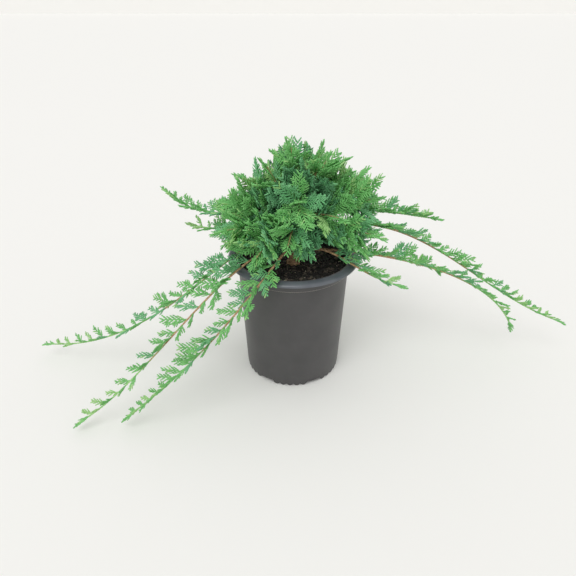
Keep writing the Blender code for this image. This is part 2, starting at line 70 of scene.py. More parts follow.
def makeStage():
    cameraData = bpy.data.cameras.new("camera")
    cameraData.lens = stage["lens"]
    cameraData.sensor_width = stage["sensorWidth"]
    camera = bpy.data.objects.new("camera", cameraData)
    bpy.context.scene.collection.objects.link(camera)
    camera.location = potAxis + Vector(stage["cameraFromPot"])
    camera.rotation_euler = (math.radians(90.0 - stage["pitch"]), 0.0, 0.0)
    bpy.context.scene.camera = camera

    world = bpy.data.worlds.new("pale studio")
    world.use_nodes = True
    background = world.node_tree.nodes["Background"]
    background.inputs["Color"].default_value = stage["skyColor"]
    background.inputs["Strength"].default_value = stage["skyStrength"]
    bpy.context.scene.world = world
    bpy.context.scene.view_settings.view_transform = "Standard"

    sunData = bpy.data.lights.new("sun", "SUN")
    sunData.energy = stage["sunStrength"]
    sunData.angle = math.radians(stage["sunAngle"])
    sun = bpy.data.objects.new("sun", sunData)
    bpy.context.scene.collection.objects.link(sun)
    sun.rotation_euler = [math.radians(turn) for turn in stage["sunTurn"]]

    bpy.ops.mesh.primitive_plane_add(size=stage["floorSize"])
    floor = bpy.context.active_object
    floor.name = "floor"
    bpy.ops.object.mode_set(mode="EDIT")     # its far edge is turned up as a backdrop
    bpy.ops.mesh.select_all(action="DESELECT")
    bpy.ops.object.mode_set(mode="OBJECT")
    for edge in floor.data.edges:
        edge.select = all(floor.data.vertices[i].co.y > 0.0 for i in edge.vertices)
    bpy.ops.object.mode_set(mode="EDIT")
    bpy.ops.mesh.select_mode(type="EDGE")
    rise = (0, 0, stage["backdropHeight"])
    bpy.ops.mesh.extrude_region_move(TRANSFORM_OT_translate={"value": rise})
    bpy.ops.mesh.select_mode(type="VERT")
    bpy.ops.object.mode_set(mode="OBJECT")
    material = bpy.data.materials.new("floor paper")
    material.use_nodes = True
    shader = material.node_tree.nodes["Principled BSDF"]
    shader.inputs["Base Color"].default_value = stage["floorColor"]
    shader.inputs["Roughness"].default_value = stage["floorRoughness"]
    floor.data.materials.append(material)


# Materials

mottling = {"detail": 4.0, "darkBelow": 0.35, "lightAbove": 0.65}


def makeMottleGroup():
    # a noise of the given scale: a mask for colour and a height for bump
    group = bpy.data.node_groups.new("mottle", "ShaderNodeTree")
    group.interface.new_socket("Scale", in_out="INPUT", socket_type="NodeSocketFloat")
    group.interface.new_socket("Mask", in_out="OUTPUT", socket_type="NodeSocketFloat")
    group.interface.new_socket("Height", in_out="OUTPUT", socket_type="NodeSocketFloat")
    nodes, links = group.nodes, group.links
    inputs = nodes.new("NodeGroupInput")
    outputs = nodes.new("NodeGroupOutput")
    coords = nodes.new("ShaderNodeTexCoord")
    blotches = nodes.new("ShaderNodeTexNoise")
    blotches.inputs["Detail"].default_value = mottling["detail"]
    contrast = nodes.new("ShaderNodeMapRange")
    contrast.inputs["From Min"].default_value = mottling["darkBelow"]
    contrast.inputs["From Max"].default_value = mottling["lightAbove"]
    links.new(coords.outputs["Object"], blotches.inputs["Vector"])
    links.new(inputs.outputs["Scale"], blotches.inputs["Scale"])
    links.new(blotches.outputs["Fac"], contrast.inputs["Value"])
    links.new(contrast.outputs["Result"], outputs.inputs["Mask"])
    links.new(blotches.outputs["Fac"], outputs.inputs["Height"])
    return group


def makeMaterial(name, dark, light, roughness, scale, bump):
    # two shades of one colour, mixed by the mottle of this scale, with its height as bump
    material = bpy.data.materials.new(name)
    material.use_nodes = True
    nodes, links = material.node_tree.nodes, material.node_tree.links
    shader = nodes["Principled BSDF"]
    shader.inputs["Roughness"].default_value = roughness
    mottle = nodes.new("ShaderNodeGroup")
    mottle.node_tree = mottleGroup
    mottle.inputs["Scale"].default_value = scale
    blend = nodes.new("ShaderNodeMix")
    blend.data_type = "RGBA"
    blend.inputs["A"].default_value = (*dark, 1.0)
    blend.inputs["B"].default_value = (*light, 1.0)
    relief = nodes.new("ShaderNodeBump")
    relief.inputs["Distance"].default_value = bump
    links.new(mottle.outputs["Mask"], blend.inputs["Factor"])
    links.new(blend.outputs["Result"], shader.inputs["Base Color"])
    links.new(mottle.outputs["Height"], relief.inputs["Height"])
    links.new(relief.outputs["Normal"], shader.inputs["Normal"])
    return material


# Limbs: the same paths as the solids

tree = {
    "soilTop": 0.1520,
    "trunkTop": 0.2440,
    "trunkFoot": 0.0058,
    "trunkTip": 0.0026,
    "flare": 0.0036,
    "flareDecay": 14.0,
    "lean": (0.007, 0.005),
    "gap": 0.0003,
    "boughRadius": 0.0023,
    "stemRadius": 0.0014,
    "stemTip": 0.0008,
    "bareReach": 0.052,           # a runner's bough is bare up to this distance from the trunk
    "reachSteps": 400,
    "pathSteps": 120,
    "fewestPoints": 4,
}
kinds = {
    "runner": {"spray": 0.039, "spacing": 0.0098, "spread": 46.0, "tipSpray": 0.024, "taper": 0.72},
    "branch": {"spray": 0.036, "spacing": 0.0074, "spread": 44.0, "tipSpray": 0.020, "taper": 0.60},
    "dome": {"spray": 0.050, "spacing": 0.0027, "spread": 40.0, "tipSpray": 0.036, "taper": 0.10},
}
# name, azimuth, reach, start, tip height, climb, fall, pull, ease, turn, kind
limbRows = [
    ("runner_left", 214, 0.355, 0.186, 0.023, 34, 8, 0.090, 0.205, -34, "runner"),
    ("runner_front_left", 222, 0.296, 0.174, 0.011, 26, 22, 0.100, 0.090, -13, "runner"),
    ("runner_front", 262, 0.246, 0.182, 0.013, 24, 45, 0.074, 0.132, -48, "runner"),
    ("runner_upper_left", 160, 0.209, 0.196, 0.219, 24, -34, 0.080, 0.090, -9, "branch"),
    ("runner_far_left", 147, 0.178, 0.178, 0.166, 30, -6, 0.060, 0.070, 1, "branch"),
    ("runner_right", 5, 0.385, 0.182, 0.050, 30, 16, 0.150, 0.145, -3.6, "runner"),
    ("runner_low_right", 347, 0.308, 0.171, 0.040, 6, 64, 0.115, 0.120, 14, "runner"),
    ("runner_short_right", 325, 0.152, 0.176, 0.160, 18, -6, 0.060, 0.060, 4, "branch"),
    ("runner_high_right", 17, 0.194, 0.200, 0.200, 24, 6, 0.070, 0.070, -10, "branch"),
    ("runner_back_right", 64, 0.225, 0.184, 0.060, 30, 44, 0.090, 0.080, 8, "runner"),
    ("runner_back", 97, 0.250, 0.174, 0.036, 26, 36, 0.100, 0.090, -4, "runner"),
    ("runner_back_left", 126, 0.200, 0.188, 0.088, 28, 38, 0.080, 0.070, -6, "runner"),
    ("dome_top", 150, 0.006, 0.2444, 0.309, 88, -86, 0.020, 0.020, 0, "dome"),
    ("dome_top_right", 356, 0.030, 0.236, 0.307, 40, -78, 0.024, 0.025, 0, "dome"),
    ("dome_top_left", 176, 0.038, 0.229, 0.286, 40, -60, 0.026, 0.020, 0, "dome"),
    ("dome_high_right", 40, 0.058, 0.222, 0.285, 40, -52, 0.028, 0.020, 0, "dome"),
    ("dome_upright_right", 10, 0.098, 0.217, 0.268, 30, -42, 0.034, 0.026, 10, "dome"),
    ("dome_left", 164, 0.072, 0.216, 0.266, 34, -40, 0.030, 0.022, 4, "dome"),
    ("dome_low_left", 192, 0.090, 0.206, 0.240, 30, -24, 0.034, 0.028, 0, "dome"),
    ("dome_near_left", 206, 0.106, 0.198, 0.212, 28, 0, 0.038, 0.032, 0, "dome"),
    ("dome_front_left", 238, 0.088, 0.196, 0.178, 26, 46, 0.036, 0.026, -4, "dome"),
    ("dome_front", 262, 0.066, 0.205, 0.194, 26, 30, 0.026, 0.018, 0, "dome"),
    ("dome_front_high", 275, 0.054, 0.228, 0.256, 34, -30, 0.024, 0.018, 0, "dome"),
    ("dome_front_right", 320, 0.078, 0.214, 0.230, 30, -6, 0.030, 0.022, 0, "dome"),
    ("dome_near_right", 340, 0.116, 0.192, 0.204, 28, 0, 0.042, 0.034, 0, "dome"),
    ("dome_right", 354, 0.108, 0.207, 0.244, 28, -18, 0.038, 0.030, 0, "dome"),
    ("dome_back_right", 60, 0.092, 0.206, 0.242, 32, -26, 0.034, 0.026, 0, "dome"),
    ("dome_back", 97, 0.080, 0.218, 0.258, 32, -34, 0.034, 0.026, 0, "dome"),
    ("dome_back_left", 130, 0.092, 0.210, 0.240, 32, -24, 0.034, 0.026, 0, "dome"),
]


def trunkAxis(height):
    rise = max(0.0, (height - tree["soilTop"]) / (tree["trunkTop"] - tree["soilTop"]))
    return Vector((tree["lean"][0] * rise, tree["lean"][1] * rise, 0.0))


def trunkRadius(height):
    rise = max(0.0, (height - tree["soilTop"]) / (tree["trunkTop"] - tree["soilTop"]))
    taper = tree["trunkFoot"] + (tree["trunkTip"] - tree["trunkFoot"]) * rise
    return taper + tree["flare"] * math.exp(-rise * tree["flareDecay"])


class Limb:
    def __init__(self, name, azimuth, reach, start, tip, climb, fall, pull, ease, turn, kind):
        self.name, self.kind, self.azimuth, self.turn = name, kind, azimuth, turn
        climb, fall = math.radians(climb), math.radians(fall)
        footOut = trunkRadius(start) + tree["gap"] + tree["boughRadius"] * abs(math.sin(climb))
        self.handles = [
            (footOut, start),
            (footOut + pull * math.cos(climb), start + pull * math.sin(climb)),
            (reach - ease * math.cos(fall), tip + ease * math.sin(fall)),
            (reach, tip),
        ]

    def point(self, t):
        weights = [(1 - t) ** 3, 3 * t * (1 - t) ** 2, 3 * t * t * (1 - t), t ** 3]
        out = sum(weight * handle[0] for weight, handle in zip(weights, self.handles))
        high = sum(weight * handle[1] for weight, handle in zip(weights, self.handles))
        angle = math.radians(self.azimuth + self.turn * t)
        axis = trunkAxis(self.handles[0][1]) * (1 - t)
        return Vector((axis.x + out * math.cos(angle), axis.y + out * math.sin(angle), high))

    def bareEnd(self):
        if self.kind == "dome":
            return 0.0
        places = (i / tree["reachSteps"] for i in range(tree["reachSteps"] + 1))
        return next(t for t in places if self.point(t).xy.length >= tree["bareReach"])


def pathPoints(limb, first, last, spacing):
    # points along a limb, about evenly spaced
    steps = tree["pathSteps"]
    fine = [limb.point(first + (last - first) * i / steps) for i in range(steps + 1)]
    along = np.cumsum([0.0] + [(there - here).length for here, there in zip(fine, fine[1:])])
    count = max(tree["fewestPoints"], round(along[-1] / spacing) + 1)
    wanted = np.linspace(0.0, along[-1], count)
    spots = np.array([tuple(point) for point in fine])
    return [Vector(row) for row in zip(*(np.interp(wanted, along, spots[:, i]) for i in range(3)))]


# Joined meshes from arrays

def meshObject(name, verts, faces, material, slot):
    mesh = bpy.data.meshes.new(name)
    mesh.vertices.add(len(verts))
    mesh.vertices.foreach_set("co", np.asarray(verts, dtype=np.float32).ravel())
    corners = faces.shape[1]
    mesh.loops.add(faces.size)
    mesh.loops.foreach_set("vertex_index", faces.astype(np.int32).ravel())
    mesh.polygons.add(len(faces))
    mesh.polygons.foreach_set("loop_start", np.arange(0, faces.size, corners, dtype=np.int32))
    mesh.update(calc_edges=True)
    mesh.polygons.foreach_set("use_smooth", np.ones(len(faces), dtype=bool))
    mesh.materials.append(material)
    item = bpy.data.objects.new(name, mesh)
    bpy.context.scene.collection.objects.link(item)
    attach(item, "root")
    return item


def joinArrays(parts):
    verts, faces, count = [], [], 0
    for partVerts, partFaces in parts:
        verts.append(partVerts)
        faces.append(partFaces + count)
        count += len(partVerts)
    return np.concatenate(verts) + np.array(potAxis), np.concatenate(faces)


# Pot

pot = {
    "height": 0.1655,
    "rim": 0.0825,
    "rimDrop": 0.0045,
    "collar": 0.0716,
    "collarHeight": 0.0115,
    "collarStep": 0.0007,
    "wallTop": 0.0706,
    "wallFoot": 0.0632,
    "wall": 0.0013,
    "floorLift": 0.0055,
    "floor": 0.0016,
    "footWidth": 0.0040,
    "steps": 240,
    "wallRings": 12,
    "smoothAngle": 38.0,
    # the foot's section: out from its inner radius or from the wall's foot, and up
    "footInside": [(0.0002, 0.0003), (0.0006, 0.0)],
    "footOutside": [(-0.0009, 0.0), (-0.0003, 0.0006)],
    # the round above the step: out from the collar, and up from its foot
    "stepRound": [(-0.0002, -0.0001), (0.0, 0.0003)],
    # the rolled lip's section, from the collar over the rim and the crest to the inside:
    # out from a radius, and up from the crest or from the rim's lower edge
    "lip": [("collar", 0.0, "crest", -0.0036), ("collar", 0.0006, "crest", -0.0030),
            ("middle", 0.0, "crest", -0.0026), ("rim", -0.0019, "crest", -0.0034),
            ("rimInside", 0.0, "edge", 0.0002), ("rim", -0.0009, "edge", 0.0),
            ("rim", -0.0002, "edge", 0.0001), ("rim", 0.0, "edge", 0.0006),
            ("rim", -0.0002, "edge", 0.0016), ("rim", -0.0010, "crest", -0.0018),
            ("rim", -0.0026, "crest", -0.0009), ("middle", 0.0, "crest", -0.0003),
            ("collar", 0.0022, "crest", 0.0), ("collar", 0.0006, "crest", -0.0003),
            ("collar", -0.0006, "crest", -0.0012), ("collarInside", 0.0, "edge", 0.0)],
    "feet": 6,
    "footTop": 0.0020,            # the foot's rings lie below this height
    "firstNotch": 296.0,
    "notchAngle": 18.0,
    "notchHeight": 0.0046,
    "toothAngle": 8.4,
    "toothHeight": 0.0036,
    "lipFrom": 0.0015,            # the painted highlight begins this far out from the collar
    "edgeWidth": 0.0005,
    # name, dark, light, roughness, scale of the mottle and depth of the relief
    "plastic": ("black plastic", (0.054, 0.053, 0.054), (0.068, 0.066, 0.067), 0.42, 26.0, 0.0004),
    # the lip's lighter bluish colour is a painted highlight; its lower roughness is real gloss
    "rimHighlight": ("rim plastic with painted highlight", (0.085, 0.095, 0.112), (0.120, 0.132, 0.150), 0.28, 40.0, 0.0002),
    # the step's pale tan colour is a painted highlight along its edge
    "step": ("step with painted highlight", (0.26, 0.25, 0.22), (0.36, 0.34, 0.30), 0.5, 90.0, 0.0002),
}


def wallRadius(height):
    return pot["wallFoot"] + (pot["wallTop"] - pot["wallFoot"]) * height / pot["height"]


def turnedSolid(name, profile, steps):
    # a disc that is drawn out and resized from ring to ring; its last face closes the shape
    bpy.ops.object.select_all(action="DESELECT")
    bpy.ops.mesh.primitive_circle_add(vertices=steps, radius=profile[0][0], fill_type="NGON",
                                      location=(potAxis.x, potAxis.y, profile[0][1]))
    item = bpy.context.active_object
    item.name = name
    bpy.ops.object.mode_set(mode="EDIT")
    bpy.ops.mesh.select_all(action="SELECT")
    for (radius, height), (nextRadius, nextHeight) in zip(profile, profile[1:]):
        bpy.ops.mesh.extrude_region_move(TRANSFORM_OT_translate={"value": (0, 0, nextHeight - height)})
        size = nextRadius / radius
        bpy.ops.transform.resize(value=(size, size, 1.0))
    bpy.ops.mesh.select_all(action="SELECT")
    bpy.ops.mesh.normals_make_consistent(inside=False)
    bpy.ops.object.mode_set(mode="OBJECT")
    bpy.ops.object.transform_apply(location=True, rotation=True, scale=True)
    return item


def potProfile():
    # from under the floor, down and up the foot, up the wall, over the lip and down the inside
    edge = pot["height"] - pot["rimDrop"]
    collarFoot = edge - pot["collarHeight"]
    stepFoot = collarFoot - pot["collarStep"]
    inFloor = pot["floorLift"] + pot["floor"]
    foot = pot["wallFoot"] - pot["footWidth"]
    profile = [(foot, pot["floorLift"])]
    profile += [(foot + out, up) for out, up in pot["footInside"]]
    profile += [(pot["wallFoot"] + out, up) for out, up in pot["footOutside"]]
    for ring in range(pot["wallRings"] + 1):
        height = pot["floorLift"] + (stepFoot - pot["floorLift"]) * ring / pot["wallRings"]
        profile.append((wallRadius(height), height))
    profile[-1] = (wallRadius(collarFoot), stepFoot)
    profile += [(pot["collar"] + out, collarFoot + up) for out, up in pot["stepRound"]]
    radii = {"collar": pot["collar"], "collarInside": pot["collar"] - pot["wall"],
             "middle": (pot["rim"] + pot["collar"]) / 2,
             "rim": pot["rim"], "rimInside": pot["rim"] - pot["wall"]}
    levels = {"edge": edge, "crest": pot["height"]}
    profile += [(radii[name] + out, levels[level] + up) for name, out, level, up in pot["lip"]]
    profile += [(wallRadius(height) - pot["wall"], height) for height in (collarFoot, inFloor)]
    return profile


def cutFeet(mesh):
    # notches between the feet, and small teeth along each foot
    pitch = 360.0 / pot["feet"]
    for vert in mesh.vertices:
        if vert.co.z > pot["footTop"]:
            continue
        angle = math.degrees(math.atan2(vert.co.y - potAxis.y, vert.co.x - potAxis.x))
        fromNotch = abs((angle - pot["firstNotch"] + pitch / 2) % pitch - pitch / 2)
        if fromNotch < pot["notchAngle"] / 2:
            vert.co.z += pot["notchHeight"]
        else:
            along = (fromNotch - pot["notchAngle"] / 2) % pot["toothAngle"]
            fromMiddle = abs(2 * along / pot["toothAngle"] - 1)
            vert.co.z += pot["toothHeight"] * fromMiddle ** 2


def makePot():
    item = turnedSolid("pot_shell", potProfile(), pot["steps"])
    cutFeet(item.data)
    bpy.ops.object.shade_smooth_by_angle(angle=math.radians(pot["smoothAngle"]))
    finishes = ["plastic", "rimHighlight", "step"]
    for finish in finishes:
        item.data.materials.append(makeMaterial(*pot[finish]))
    edge = pot["height"] - pot["rimDrop"]
    collarFoot = edge - pot["collarHeight"]
    for face in item.data.polygons:     # painted highlight: the lip is given a lighter bluish colour (it is also glossier), and the step a pale line
        out = math.hypot(face.center.x - potAxis.x, face.center.y - potAxis.y)
        if out > pot["collar"] + pot["lipFrom"] and face.center.z > edge - pot["edgeWidth"]:
            face.material_index = finishes.index("rimHighlight")
        # painted highlight: the step's faces get the pale colour
        elif (out > pot["collar"] - pot["wall"] / 2
              and abs(face.center.z - collarFoot) < pot["edgeWidth"]):
            face.material_index = finishes.index("step")
    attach(item, "root")
    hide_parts("pot")


# Potting mix

mix = {
    "top": 0.1520,
    "rings": 40,
    "steps": 128,
    "roughness": 0.0017,
    "swell": (70.0, 2.0, (1.0, 2.0, 2)),        # scale, layer and fractal of the broad unevenness
    "crumbs": (420.0, 7.0, (0.9, 2.1, 3)),
    "share": 0.7,                 # of the roughness that each of the two takes
    "wallGap": 0.0004,
    "floorGap": 0.0003,
    "skin": 0.001,                # what lies this close to the top is made uneven
    "chipMargin": 0.004,
    "chipWidth": (0.3, 0.7),      # as parts of the length, and then of the width
    "chipThickness": (0.3, 0.6),
    "chipWarp": (0.55, 1.15),
    "chipTilt": (0.5, 0.4),       # the most it leans, in radians
    "chipLift": 0.3,              # as a part of its thickness
    "chipFinish": (0.85, 500.0, 0.0004),
    # how many, their length, and their dark and light colours
    "chips": {
        "dark": (1500, (0.0012, 0.0055), (0.010, 0.009, 0.008), (0.030, 0.026, 0.022)),
        "brown": (520, (0.0012, 0.0060), (0.060, 0.046, 0.034), (0.130, 0.105, 0.080)),
        "tan": (150, (0.0008, 0.0036), (0.30, 0.26, 0.20), (0.48, 0.42, 0.34)),
    },
    "bed": ("damp mix", (0.006, 0.005, 0.004), (0.026, 0.021, 0.017), 0.93, 700.0, 0.0008),
}


def soilHeight(x, y):
    unevenness = 0.0
    for scale, layer, fractal in (mix["swell"], mix["crumbs"]):
        unevenness += mix["share"] * noise.fractal(Vector((x * scale, y * scale, layer)), *fractal)
    return mix["top"] + mix["roughness"] * unevenness


def makeSoil():
    bottom = pot["floorLift"] + pot["floor"] + mix["floorGap"]
    topRadius = wallRadius(mix["top"]) - pot["wall"] - mix["wallGap"]
    profile = [(wallRadius(bottom) - pot["wall"] - mix["wallGap"], bottom)]
    for ring in range(mix["rings"]):
        profile.append((topRadius * (1 - ring / mix["rings"]), mix["top"]))
    item = turnedSolid("mix_bed", profile, mix["steps"])
    for vert in item.data.vertices:
        if vert.co.z > mix["top"] - mix["skin"]:
            vert.co.z = soilHeight(vert.co.x, vert.co.y)
    bpy.ops.object.shade_smooth()
    item.data.materials.append(makeMaterial(*mix["bed"]))
    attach(item, "root")
    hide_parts("soil")
    makeChips(topRadius - mix["chipMargin"])


def makeChips(reach):
    # warped little blocks of bark, strewn over the mix
    rng = random.Random(seed)
    box = np.array([(x, y, z) for x in (-0.5, 0.5) for y in (-0.5, 0.5) for z in (-0.5, 0.5)])
    boxFaces = np.array([(0, 1, 3, 2), (4, 6, 7, 5), (0, 4, 5, 1),
                         (2, 3, 7, 6), (0, 2, 6, 4), (1, 5, 7, 3)])
    tiltX, tiltY = mix["chipTilt"]
    for name, (count, lengths, dark, light) in mix["chips"].items():
        parts = []
        for _ in range(count):
            out = reach * math.sqrt(rng.random())
            angle = rng.uniform(0, 2 * math.pi)
            x, y = out * math.cos(angle), out * math.sin(angle)
            length = rng.uniform(*lengths)
            width = length * rng.uniform(*mix["chipWidth"])
            thick = width * rng.uniform(*mix["chipThickness"])
            warp = np.array([[rng.uniform(*mix["chipWarp"]) for _ in range(3)] for _ in range(8)])
            turn = Matrix.Rotation(rng.uniform(0, math.pi), 3, "Z")
            turn = turn @ Matrix.Rotation(rng.uniform(-tiltX, tiltX), 3, "X")
            turn = turn @ Matrix.Rotation(rng.uniform(-tiltY, tiltY), 3, "Y")
            corners = (box * warp * (length, width, thick)) @ np.array(turn.transposed())
            height = soilHeight(x + potAxis.x, y + potAxis.y) + thick * mix["chipLift"]
            parts.append((corners + (x, y, height), boxFaces))
        material = makeMaterial(name + " chips", dark, light, *mix["chipFinish"])
        piece = meshObject("mix_chips_" + name, *joinArrays(parts), material, "potting_mix")
        piece.data.shade_flat()


# Bark

bark = {
    "anySide": (0.31, 0.52, 0.79),      # where a tube's first side points
    "sampleShift": 50.0,                # so that no two tubes have the same relief
    "fractal": (0.8, 2.0, 3),
    # sides, depth of the relief, and its fineness round the limb and along it
    "trunk": (22, 0.22, (2.2, 0.06)),
    "bough": (14, 0.20, (1.8, 0.08)),
    "twig": (8, 0.16, (1.6, 0.12)),
    "trunkRings": 0.0009,
    "boughRings": 0.0012,
    "twigRings": 0.0030,
    "trunkSink": 0.002,                 # into the mix
    "trunkShort": 0.0005,               # of its top
    "trunkSlim": 0.98,
    "boughTip": 1.1,                    # as a part of the stem that grows on from it
    "woody": {"runner": 0.62, "branch": 0.62, "dome": 0.80},    # part of a stem that has turned brown
    "flaking": ("flaking bark", (0.20, 0.11, 0.055), (0.52, 0.33, 0.19), 0.8, 420.0, 0.0007),
    "young": ("twig bark", (0.30, 0.17, 0.08), (0.58, 0.38, 0.21), 0.75, 500.0, 0.0004),
}


def tubeArrays(spots, radii, sides, relief, grain):
    # a closed tube of triangles, its radius roughened along its grain
    verts, faces = [], []
    side = Vector(bark["anySide"])
    for number, (spot, radius) in enumerate(zip(spots, radii)):
        run = spots[min(number + 1, len(spots) - 1)] - spots[max(number - 1, 0)]
        run.normalize()
        side = (side - run * side.dot(run)).normalized()
        up = run.cross(side)
        for step in range(sides):
            angle = 2 * math.pi * step / sides
            outward = side * math.cos(angle) + up * math.sin(angle)
            sample = outward * grain[0] + run * (number * grain[1]) + spots[0] * bark["sampleShift"]
            rough = 1.0 + relief * noise.fractal(sample, *bark["fractal"])
            verts.append(tuple(spot + outward * radius * rough))
    for number in range(len(spots) - 1):
        for step in range(sides):
            a, b = number * sides + step, number * sides + (step + 1) % sides
            faces += [(a, b, b + sides), (a, b + sides, a + sides)]
    last = (len(spots) - 1) * sides
    for step in range(1, sides - 1):
        faces += [(0, step + 1, step), (last, last + step, last + step + 1)]
    return np.array(verts), np.array(faces)


def makeBark(limbs):
    flaking = makeMaterial(*bark["flaking"])
    foot, top = tree["soilTop"] - bark["trunkSink"], tree["trunkTop"] - bark["trunkShort"]
    heights = np.arange(foot, top, bark["trunkRings"])
    points = [trunkAxis(height) + Vector((0, 0, height)) for height in heights]
    radii = [trunkRadius(height) * bark["trunkSlim"] for height in heights]
    trunkParts = [tubeArrays(points, radii, *bark["trunk"])]
    trunk = meshObject("trunk_bark", *joinArrays(trunkParts), flaking, "bark")
    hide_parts("trunk")
    boughParts, twigParts = [], []
    for limb in limbs:
        split = limb.bareEnd()
        if limb.kind != "dome":
            points = pathPoints(limb, 0.0, split, bark["boughRings"])
            radii = np.linspace(tree["boughRadius"], tree["stemRadius"] * bark["boughTip"], len(points))
            boughParts.append(tubeArrays(points, radii, *bark["bough"]))
        woodyEnd = split + (1 - split) * bark["woody"][limb.kind]
        points = pathPoints(limb, split, woodyEnd, bark["twigRings"])
        radii = np.linspace(tree["stemRadius"], tree["stemTip"], len(points))
        twigParts.append(tubeArrays(points, radii, *bark["twig"]))
    boughs = meshObject("bough_bark", *joinArrays(boughParts), flaking, "bark")
    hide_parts(*(limb.name.replace("runner", "bough") for limb in limbs
                          if limb.kind != "dome"))
    meshObject("twigs", *joinArrays(twigParts), makeMaterial(*bark["young"]), "bark")


# Foliage: sprays of finger-like branchlets that are clad in scale leaves

foliage = {
    "scaleRings": 6,
    "thickness": 0.00108,
    "axisThickness": 0.00080,
    "fingerSpacing": 0.0052,
    "subFingerFrom": 0.0118,      # a longer finger carries smaller ones
    "pieceTriangles": 190000,
    "sizeRange": (0.58, 1.08),
    "leanRange": (0.80, 1.15),
    "spacingRange": (0.85, 1.15),
    "taperCurve": 1.5,
    "goldenAngle": 137.5,
    "domeJitter": 0.3,            # radians
    "runnerTurn": (8, 62),        # degrees that a runner's sprays are swept up
    "twist": 30,                  # degrees
    "firstStation": 0.6,          # in spacings
    "shrinks": (1.0, 0.85, 0.7, 0.5),
    # where a spray isn't free, these turns in radians are tried at each of the sizes above
    "runnerTries": (0.0, 0.4, -0.4, 0.8),
    "domeTries": (0.0, 0.8, -0.8, 1.6, -1.6, 2.4, -2.4, 3.1),
    "uprightBelow": 0.05,         # a stem this near to upright takes X as the direction beside it
    "stray": 0.008,               # how far a spray may reach into a neighbour's space
    "pointSpacing": 0.002,
    "floorRoom": 0.004,
    "potRoom": 0.002,
    "innerRoom": 0.006,           # inside the wall, and over the mix
    "mixRoom": 0.004,
    "limbSamples": 24,
    "leafFinish": (0.55, 90.0, 0.0001),
    "youngStemFrom": 0.5,         # the part of a stem that is clad in scales begins here
    "youngStemStop": 0.3,         # and ends at this part of the last spray
    "youngStemStep": 0.0045,
    "youngStemOverlap": 1.25,
    "youngStemThickness": 0.0011,
}
# one spray: random ranges, and shares of its length
spray = {
    "arch": (0.04, 0.16),
    "fewestFingers": 3,
    "rightStart": 0.55,                         # first finger on each side, in finger spacings
    "leftStart": 0.95,
    "end": 0.8,
    "fingerLength": (0.40, 0.75, 0.10),         # at the foot, how fast it falls, and at the tip
    "fingerRange": (0.78, 1.15),
    "footLength": (0.55, 2.2),                  # shortens the first fingers
    "lean": (30, 48),
    "lift": (-0.20, 0.30),
    "freshChance": (0.04, 0.30),
    "thickRange": (0.85, 1.1),
    "bend": (0.05, 0.22),
    "subParts": (0.38, 0.66),                   # where a long finger carries smaller ones
    "subLean": (0.78, 0.62),
    "subShift": 0.12,
    "subLength": (0.62, 0.40),
    "subThickness": 0.9,
    "subBend": 0.1,
    # where it is tested: along its axis, and out to its sides at a share of its length
    "axisSpots": 8,
    "firstSpot": 2,
    "sideSpots": ((0.3, 0.26), (0.5, 0.28), (0.75, 0.2)),
}
scaleShape = {"slimming": 0.45, "wide": 1.18, "narrow": 0.74}
# masses whose sprays stand closer: over the front of the rim, at the right and at the upper left
thicker = {"dome_front_left": 0.5, "dome_front": 0.55, "dome_near_left": 0.75, "runner_front": 0.7,
           "runner_high_right": 0.5, "runner_right": 0.7, "runner_low_right": 0.75,
           "runner_upper_left": 0.75}
# the darkest green is a painted shade: a darker copy of the green, dealt inside the dome and low on it
tints = {
    "fresh": ((0.25, 0.55, 0.16), (0.40, 0.68, 0.27)),
    "bright": ((0.15, 0.47, 0.13), (0.23, 0.59, 0.19)),
    "blue": ((0.13, 0.42, 0.17), (0.21, 0.54, 0.25)),
    "shadeGreen": ((0.07, 0.25, 0.10), (0.12, 0.36, 0.16)),
}
# shares of a stem and heights where one tint gives way to the next: the painted shade green inside and
# low on the dome, brighter greens at its top and outside
tintLimits = {"domeShadeShare": 0.22, "domeLow": 0.180, "domeHigh": 0.235, "domeOuter": 0.45,
              "runnerTip": 0.72}


def scaleTube(rings):
    # a branchlet along X, 1 long: pairs of scales stand wide in turn along Y and along Z
    rows, faces = [], []
    for ring in range(rings):
        along = ring / rings
        body = 1 - scaleShape["slimming"] * along ** 2
        wide, narrow = scaleShape["wide"] * body, scaleShape["narrow"] * body
        y, z = (wide, narrow) if ring % 2 else (narrow, wide)
        rows += [(along, y, 0), (along, 0, z), (along, -y, 0), (along, 0, -z)]
    rows.append((1.0, 0.0, 0.0))
    tip = len(rows) - 1
    for ring in range(rings - 1):
        for step in range(4):
            a, b = ring * 4 + step, ring * 4 + (step + 1) % 4
            faces += [(a, b + 4, b), (a, a + 4, b + 4)]
    last = (rings - 1) * 4
    for step in range(4):
        faces.append((last + step, tip, last + (step + 1) % 4))
    faces += [(0, 1, 2), (0, 2, 3)]
    return np.array(rows, dtype=float), np.array(faces)[:, ::-1]


def layFinger(store, tint, origin, direction, bendWay, length, thick, bend):
    # one branchlet, kept as a row until all are joined
    across = (bendWay - direction * bendWay.dot(direction)).normalized()
    normal = direction.cross(across)
    store[tint].append((*origin, *direction, *across, *normal, length, thick, bend))


